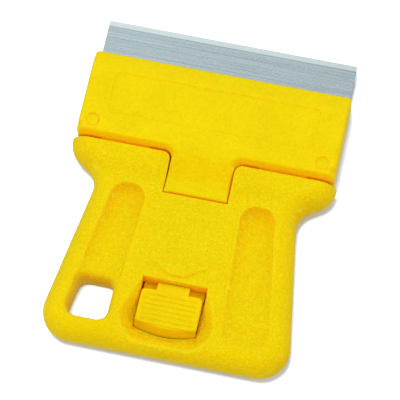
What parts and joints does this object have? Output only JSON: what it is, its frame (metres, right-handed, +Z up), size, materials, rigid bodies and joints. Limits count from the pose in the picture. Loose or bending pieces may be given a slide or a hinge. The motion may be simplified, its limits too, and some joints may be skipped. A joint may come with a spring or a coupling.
{
  "type": "razor blade scraper",
  "caption": "Pocket-size plastic scraper that holds a single-edge razor blade under a slide-off head cover, with a press-tab latch, finger scoops and a hang hole.",
  "frame": {"origin": "middle of the footprint, blade included, on the flat back that the scraper lies on", "axes": "+Y towards the cutting edge, +X to the right seen from above, +Z up out of the face with the press tab"},
  "size_m": [0.0414, 0.053, 0.0072],
  "materials": {
    "handle_plastic": "fine-grained moulded polypropylene",
    "cover_plastic": "satin moulded polypropylene",
    "latch_plastic": "satin moulded polypropylene",
    "blade_steel": "ground lengthwise, with a finer ground bevel at the edge",
    "spine_steel": "rolled and folded strip"
  },
  "bodies": {
    "handle": {"handle": "handle_plastic", "blade": "blade_steel", "blade_spine": "spine_steel"},
    "cover": {"head_cover": "cover_plastic"},
    "latch": {"latch_arm": "latch_plastic"}
  },
  "joints": [
    {"name": "cover_slide", "type": "slide", "parent": "handle", "child": "cover", "axis": [0, 1, 0], "range_m": [0, 0.029], "deforming": ["latch_arm"]},
    {"name": "latch_press", "type": "hinge", "parent": "cover", "child": "latch", "pos_m": [0, 0.00025, 0.00355], "axis": [1, 0, 0], "range_deg": [0, 4], "stiffness_Nm_per_rad": 0.1}
  ]
}
